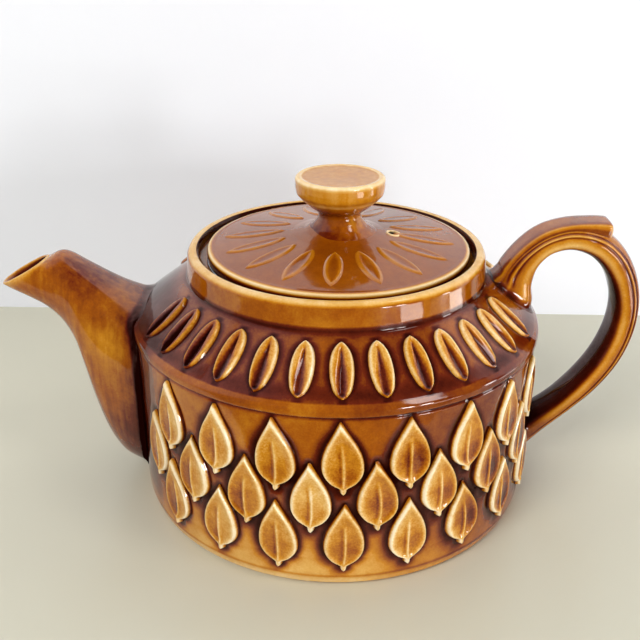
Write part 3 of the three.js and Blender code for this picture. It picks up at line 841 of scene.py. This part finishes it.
def knob(material):
    builder = Builder()
    profile = spaced(rounded_profile(KNOB_OUTLINE, 7), lambda p: 0.8)
    r, z = profile[:, 0], profile[:, 1]
    value = 0.40 + 0.12 * smoothstep(99, 103, z) + 0.08 * smoothstep(111, 115, z)
    value += 0.30 * bell(z, 118.2, 0.8) * (r > 13.6) + 0.20 * bell(z, 111.0, 0.8)
    value -= 0.14 * bell(z, 107.4, 1.4)
    columns = 160
    # Painted shade: the neck is darker on its front-left side.
    shaded_side = np.maximum(np.cos(full_turn(columns) + 1.0), 0)[None, :]
    value = value[:, None] - 0.17 * shaded_side * (smoothstep(112, 104, z) * (r < 13))[:, None]
    ids = builder.grid(turned_rows(profile, columns), value)
    builder.fan(ids[0], (0, 0, KNOB_OUTLINE[0][1]), 0.4, flip=True)
    builder.fan(ids[-1], (0, 0, KNOB_OUTLINE[-1][1] - 0.25), 0.6)
    return builder.make("knob_shell", material, LID_REST + 0.3)


def cut_holes(obj, holes):
    """Cuts round holes, each (centre, direction, radius, length), clean through obj."""
    builder = Builder()
    turn = full_turn(20)
    for centre, direction, radius, length in holes:
        axis = np.asarray(direction, float)
        side = np.cross(axis, [0.0, 1.0, 0.0]) if abs(axis[1]) < 0.9 else np.array([1.0, 0, 0])
        side /= np.linalg.norm(side)
        up = np.cross(axis, side)
        ring = radius * (np.cos(turn)[:, None] * side + np.sin(turn)[:, None] * up)
        rows = np.stack([ring + centre - axis * length / 2, ring + centre + axis * length / 2])
        ids = builder.grid(rows, 0.3)
        builder.faces.append(tuple(int(i) for i in ids[0][::-1]))
        builder.faces.append(tuple(int(i) for i in ids[1]))
    cutter = builder.make(obj.name + "_cutter", obj.data.materials[0])
    modifier = obj.modifiers.new("holes", "BOOLEAN")
    modifier.operation = "DIFFERENCE"
    modifier.object = cutter
    modifier.solver = "EXACT"
    evaluated = obj.evaluated_get(bpy.context.evaluated_depsgraph_get())
    mesh = bpy.data.meshes.new_from_object(evaluated)
    obj.modifiers.clear()
    obj.data = mesh
    bpy.data.objects.remove(cutter)


def pouring_holes():
    """Staggered columns of holes through the wall behind the spout."""
    pitch = 8.0
    for column in (-1, 0, 1):
        count = 5 if column == 0 else 4
        for i in range(count):
            height = 42 + (i - (count - 1) / 2) * pitch
            yield (2.2 - WALL_R, column * pitch * 0.87, height), (1, 0, 0), 2.0, 9.0


# ---- infuser basket ----
BASKET_R, SHEET, BASKET_FLOOR = 41.4, 0.6, 14.0
BASKET_INSIDE = BASKET_R - SHEET
MESH_COLUMNS, MESH_ROWS, MESH_LOW, MESH_HIGH = 84, 24, 20.5, 82.5


def mesh_cell(left, right, low, high, hole):
    """Corners and edge middles of one cell, and the eight corners of its hole, going round."""
    mid, height = (left + right) / 2, (low + high) / 2
    turn = np.radians(np.arange(8) * 45.0 - 135.0)
    rim = [(left, low), (mid, low), (right, low), (right, height), (right, high), (mid, high),
           (left, high), (left, height)]
    inner = np.stack([mid + hole * np.cos(turn), height + hole * np.sin(turn)], -1)
    return np.array(rim), inner


def infuser_sleeve(material):
    """Perforated sheet rolled into a sleeve, with plain margins at top and bottom."""
    builder = Builder()
    pitch = 2 * math.pi * BASKET_R / MESH_COLUMNS
    rise = (MESH_HIGH - MESH_LOW) / MESH_ROWS

    def on_sleeve(flat, radius):
        angle = flat[:, 0] / BASKET_R
        return np.stack([radius * np.sin(angle), -radius * np.cos(angle), flat[:, 1]], -1)

    for row in range(MESH_ROWS):
        low = MESH_LOW + row * rise
        for column in range(MESH_COLUMNS):
            left = (column + 0.5 * (row % 2)) * pitch
            rim, hole = mesh_cell(left, left + pitch, low, low + rise, 0.95)
            rings = [builder.add(on_sleeve(flat, radius), 0.5) + np.arange(8)
                     for flat, radius in ((rim, BASKET_R), (hole, BASKET_R),
                                          (hole, BASKET_INSIDE), (rim, BASKET_INSIDE))]
            builder.stitch_all(rings)
    for first, last, end in ((BASKET_R, BASKET_INSIDE, 87.8), (BASKET_INSIDE, BASKET_R, BASKET_FLOOR)):
        start = MESH_HIGH if end > MESH_HIGH else MESH_LOW
        margin = np.array([[first, start], [first, end], [last, end], [last, start]])
        builder.grid(turned_rows(margin, MESH_COLUMNS * 2), 0.5)
    return builder.make("sleeve_mesh", material, smooth=False)


def infuser_floor(material):
    """Perforated disc: a honeycomb of cells inside a plain margin."""
    builder = Builder()
    pitch = 3.1
    around = np.radians(np.arange(6) * 60.0 + 30.0)
    corner = np.stack([np.cos(around), np.sin(around)], -1) * pitch / math.sqrt(3)
    low, high = BASKET_FLOOR, BASKET_FLOOR + SHEET
    margin_from, last_centre = 36.0, 37.0
    for i in range(-14, 15):
        for j in range(-14, 15):
            centre = np.array([(i + 0.5 * (j % 2)) * pitch, j * pitch * math.sqrt(0.75)])
            if np.hypot(*centre) > last_centre:
                continue
            flats = [(corner, high), (corner * 0.62, high), (corner * 0.62, low), (corner, low)]
            rings = [builder.add(np.column_stack([centre + flat, np.full(6, z)]), 0.5) + np.arange(6)
                     for flat, z in flats]
            builder.stitch_all(rings)
            for k, between in enumerate(corner + np.roll(corner, -1, 0)):
                if np.hypot(*(centre + between)) > last_centre:  # no cell lies beyond this side
                    side = [k, (k + 1) % 6]
                    builder.faces.append((*rings[3][side].tolist(), *rings[0][side[::-1]].tolist()))
    under, over = low - 0.02, high + 0.02
    margin = np.array([[margin_from, under], [BASKET_INSIDE, under], [BASKET_INSIDE, over],
                       [margin_from, over], [margin_from, under]])
    builder.grid(turned_rows(margin, 96), 0.5)
    return builder.make("floor_mesh", material, smooth=False)


def infuser_ring(name, outline, material):
    builder = Builder()
    builder.grid(turned_rows(rounded_profile(outline), 160), 0.5)
    return builder.make(name, material)


FLANGE_OUTLINE = (
    (BASKET_R, 84.8, 0), (42.0, 84.8, 0.2), (42.0, 88.8, 0.5), (46.2, 88.8, 0.3), (46.6, 89.2, 0.3),
    (46.2, 89.6, 0.3), (42.0, 89.6, 0.6), (BASKET_R, 89.0, 0.6), (BASKET_R, 84.8, 0),
)
BAND_OUTLINE = (
    (39.0, 13.2, 0), (41.8, 13.2, 0.5), (42.2, 13.7, 0.4), (42.2, 18.0, 0.3), (BASKET_R, 18.0, 0.2),
    (BASKET_R, 14.0, 0.2), (39.0, 14.0, 0.2), (39.0, 13.2, 0),
)
WIRE_R = 0.9


def lifting_loop(name, side, material):
    """Round wire bent into a loop, its two feet pressed flat and welded inside the sleeve."""
    path = [(x, math.sqrt((BASKET_INSIDE - 1.6) ** 2 - x ** 2), z) for x, z in ((-12, 62), (-11.6, 71))]
    path += [(-10.6, 34, 78), (-5.8, 30.6, 85), (0, 30, 86.6)]
    path += [(-x, y, z) for x, y, z in path[-2::-1]]
    centre = curve_through(path, 90) * (1, side, 1)
    along = np.gradient(centre, axis=0)
    along /= np.linalg.norm(along, axis=1, keepdims=True)
    across = np.cross(along, (0.0, 1.0, 0.0))
    across /= np.linalg.norm(across, axis=1, keepdims=True)
    outward = np.cross(across, along)
    turn = full_turn(16)
    end = np.abs(np.linspace(-1, 1, 90))
    foot = smoothstep(0.82, 0.92, end)[:, None, None]
    wide = (WIRE_R + 0.9 * foot) * np.cos(turn)[None, :, None] * across[:, None]
    thin = (WIRE_R - 0.4 * foot) * np.sin(turn)[None, :, None] * outward[:, None]
    builder = Builder()
    ids = builder.grid(centre[:, None] + wide + thin, 0.5)
    builder.fan(ids[0], centre[0], 0.5, flip=True)
    builder.fan(ids[-1], centre[-1], 0.5)
    return builder.make(name, material)


# ---- assembly ----
def place(piece, body, slot, *nodes):
    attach(piece, body)
    if nodes:
        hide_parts(*nodes)


glaze_pot = glaze_material("glaze_on_pot")
glaze_relief = glaze_material("glaze_on_relief", patch=0.22, fleck=0.24, grain=0.26)
glaze_spout = glaze_material("glaze_on_spout", patch=0.25, fleck=0.15, streak=0.25)
glaze_handle = glaze_material("glaze_on_handle", patch=0.25, fleck=0.12)
glaze_lid = glaze_material("glaze_on_lid", patch=0.12, fleck=0.08, grain=0.08)
glaze_knob = glaze_material("glaze_on_knob", patch=0.12, fleck=0.08, grain=0.08, streak=0.2)

pot_shell = pot_body(glaze_pot)
cut_holes(pot_shell, list(pouring_holes()))
place(pot_shell, "pot", "glaze_pot", "pot_body")
for row, row_name in enumerate(("upper", "middle", "lower")):
    leaves = Builder()
    for number, leaf in enumerate(leaf_places(row)):
        add_leaf(leaves, *leaf, number + 40 * row)
    place(leaves.make("leaves_" + row_name, glaze_relief), "pot", "glaze_pot")
petals = Builder()
for number, azimuth in enumerate(shoulder_places()):
    add_shoulder_petal(petals, azimuth, number + 500)
place(petals.make("shoulder_petals", glaze_relief), "pot", "glaze_pot")
place(spout(glaze_spout), "pot", "glaze_spout", "spout")
place(handle(glaze_handle), "pot", "glaze_handle", "handle")
place(thumb_strap(glaze_handle), "pot", "glaze_handle")

place(lid_plate(glaze_lid), "lid", "glaze_lid", "lid_plate")
place(vent_rim(glaze_relief), "lid", "glaze_lid")
rays = Builder()
for i in range(LID_PETALS):
    add_lid_petal(rays, -3.2 + i * 360 / LID_PETALS)
place(rays.make("lid_petals", glaze_lid, LID_REST), "lid", "glaze_lid")
place(knob(glaze_knob), "lid", "glaze_knob", "lid_knob")

mesh_steel = steel_material("mesh_steel", 0.34, (0.60, 0.61, 0.62))
rim_steel = steel_material("rim_steel", 0.22, (0.66, 0.67, 0.68))
wire_steel = steel_material("wire_steel", 0.26, (0.64, 0.65, 0.66))
place(infuser_sleeve(mesh_steel), "infuser", "steel_mesh", "infuser_sleeve")
place(infuser_floor(mesh_steel), "infuser", "steel_mesh", "infuser_floor")
place(infuser_ring("flange", FLANGE_OUTLINE, rim_steel), "infuser", "steel_rim", "infuser_rim")
place(infuser_ring("foot_band", BAND_OUTLINE, rim_steel), "infuser", "steel_rim", "infuser_foot_band")
for end, side in (("front", -1), ("back", 1)):
    loop = lifting_loop("loop_" + end, side, wire_steel)
    place(loop, "infuser", "steel_wire", "infuser_loop_" + end)


# ---- stage ----
REACH = 1500
WALL_Y = 142


def sheet(name, corners, colour, roughness):
    mesh = bpy.data.meshes.new(name)
    mesh.from_pydata([tuple(v * MM for v in p) for p in corners], [], [(0, 1, 2, 3)])
    material, tree, shader = new_material(name)
    shade = ramp_node(tree, noise_node(tree, 6), ((0.0, tuple(c * 0.96 for c in colour)), (1.0, colour)))
    tree.links.new(shade, shader.inputs["Base Color"])
    shader.inputs["Roughness"].default_value = roughness
    mesh.materials.append(material)
    obj = add_object(name, mesh)
    return obj


def only_in_reflections(obj):
    """Hides an object from everything but glossy rays."""
    obj.visible_camera = obj.visible_diffuse = obj.visible_transmission = obj.visible_shadow = False


def clear_from_behind(obj):
    """Makes a sheet clear from its back, so that it hides and lights nothing there."""
    tree = obj.data.materials[0].node_tree
    output = next(n for n in tree.nodes if n.type == "OUTPUT_MATERIAL")
    mix = tree.nodes.new("ShaderNodeMixShader")
    side = tree.nodes.new("ShaderNodeNewGeometry")
    tree.links.new(side.outputs["Backfacing"], mix.inputs[0])
    tree.links.new(output.inputs["Surface"].links[0].from_socket, mix.inputs[1])
    tree.links.new(tree.nodes.new("ShaderNodeBsdfTransparent").outputs[0], mix.inputs[2])
    tree.links.new(mix.outputs[0], output.inputs["Surface"])


def glow(obj, strength):
    """Adds emission in the object's own colour."""
    tree = obj.data.materials[0].node_tree
    shader = next(n for n in tree.nodes if n.type == "BSDF_PRINCIPLED")
    tree.links.new(shader.inputs["Base Color"].links[0].from_socket, shader.inputs["Emission Color"])
    shader.inputs["Emission Strength"].default_value = strength


def floor_corners(near, far, height):
    """Corners of a wide level rectangle between two distances in Y."""
    return ((-REACH, near, height), (REACH, near, height), (REACH, far, height), (-REACH, far, height))


sheet("floor", floor_corners(-REACH, REACH, 0), (0.62, 0.60, 0.475), 0.3)
# A dark card in front of the pot and two bright patches to its right, seen only in its glaze.
card = sheet("dark_card", floor_corners(-REACH, -120, 0.5), (0.16, 0.12, 0.08), 0.5)
only_in_reflections(card)
clear_from_behind(card)
for first, last, near, far in ((44, 60, 270, 420), (84, 98, 250, 400)):
    corners = [(r * math.sin(math.radians(a)), -r * math.cos(math.radians(a)), 1.0)
               for a, r in ((first, near), (first, far), (last, far), (last, near))]
    patch = sheet("bright_patch", corners, (1.0, 0.96, 0.9), 0.5)
    glow(patch, 5.0)
    only_in_reflections(patch)
    clear_from_behind(patch)
wall_foot, wall_top = (WALL_Y, 0), (WALL_Y, 1600)
wall = sheet("backdrop", ((-REACH, *wall_foot), (REACH, *wall_foot), (REACH, *wall_top), (-REACH, *wall_top)),
             (0.80, 0.815, 0.86), 0.9)
glow(wall, 0.14)
clear_from_behind(wall)


def area_light(name, where, towards, size, size_y, power, colour=(1, 1, 1), shiny=True):
    light = bpy.data.lights.new(name, "AREA")
    light.shape = "RECTANGLE"
    light.size, light.size_y, light.energy = size, size_y, power
    light.color = colour
    obj = add_object(name, light)
    obj.location = where
    obj.visible_glossy = shiny
    obj.rotation_euler = (Vector(towards) - obj.location).to_track_quat("-Z", "Y").to_euler()


def polar(azimuth, elevation, distance):
    """A place seen from the pot: azimuth is degrees to the right of the front."""
    a, e = math.radians(azimuth), math.radians(elevation)
    return (distance * math.sin(a) * math.cos(e), -distance * math.cos(a) * math.cos(e),
            0.06 + distance * math.sin(e))


area_light("key", polar(-32, 40, 1.5), (0, 0, 0.05), 0.7, 0.6, 15, (1, 0.985, 0.96), shiny=False)
area_light("pane_1", polar(36, 2, 1.2), (0, 0, 0.08), 0.15, 0.3, 4.5)
area_light("pane_2", polar(46, 2, 1.2), (0, 0, 0.08), 0.13, 0.3, 3.5)
area_light("pane_3", polar(84, 4, 1.2), (0, 0, 0.08), 0.14, 0.3, 2.2)
area_light("high_right", polar(60, 48, 1.3), (0, 0, 0.05), 0.3, 0.4, 2.5)

ROOM = ((0.0, (0.08, 0.08, 0.09)), (0.52, (0.12, 0.125, 0.14)), (0.64, (0.62, 0.66, 0.76)),
        (1.0, (0.82, 0.87, 1.0)))


def soft_room():
    """Light from the bright side behind and to the left, dimmer from the viewer's side."""
    world = bpy.data.worlds.new("soft_room")
    world.use_nodes = True
    tree = world.node_tree
    direction = tree.nodes.new("ShaderNodeTexCoord")
    split = tree.nodes.new("ShaderNodeSeparateXYZ")
    tree.links.new(direction.outputs["Generated"], split.inputs["Vector"])
    share = 0.5
    for axis, weight in (("X", -0.23), ("Y", 0.43), ("Z", 0.10)):
        share = math_node(tree, "ADD", math_node(tree, "MULTIPLY", split.outputs[axis], weight), share)
    background = tree.nodes["Background"]
    tree.links.new(ramp_node(tree, share, ROOM), background.inputs["Color"])
    background.inputs["Strength"].default_value = 0.93
    bpy.context.scene.world = world
    bpy.context.scene.view_settings.view_transform = "Standard"


soft_room()


# ---- camera ----
def add_camera():
    pitch, yaw, roll = math.radians(25.65), math.radians(-1.13), math.radians(0.31)
    forward = Vector((math.sin(yaw) * math.cos(pitch), math.cos(yaw) * math.cos(pitch), -math.sin(pitch)))
    right = Vector((math.cos(yaw), -math.sin(yaw), 0))
    up = right.cross(forward)
    right, up = (right * math.cos(roll) + up * math.sin(roll), up * math.cos(roll) - right * math.sin(roll))
    data = bpy.data.cameras.new("camera")
    data.sensor_width = 36.0
    data.lens = 47.98
    data.clip_start = 0.01
    camera = add_object("camera", data)
    turn = Matrix((right, up, -forward)).transposed().to_4x4()
    camera.matrix_world = Matrix.Translation((0, -0.2893, 0.2016)) @ turn
    bpy.context.scene.camera = camera


add_camera()
bpy.context.view_layer.update()
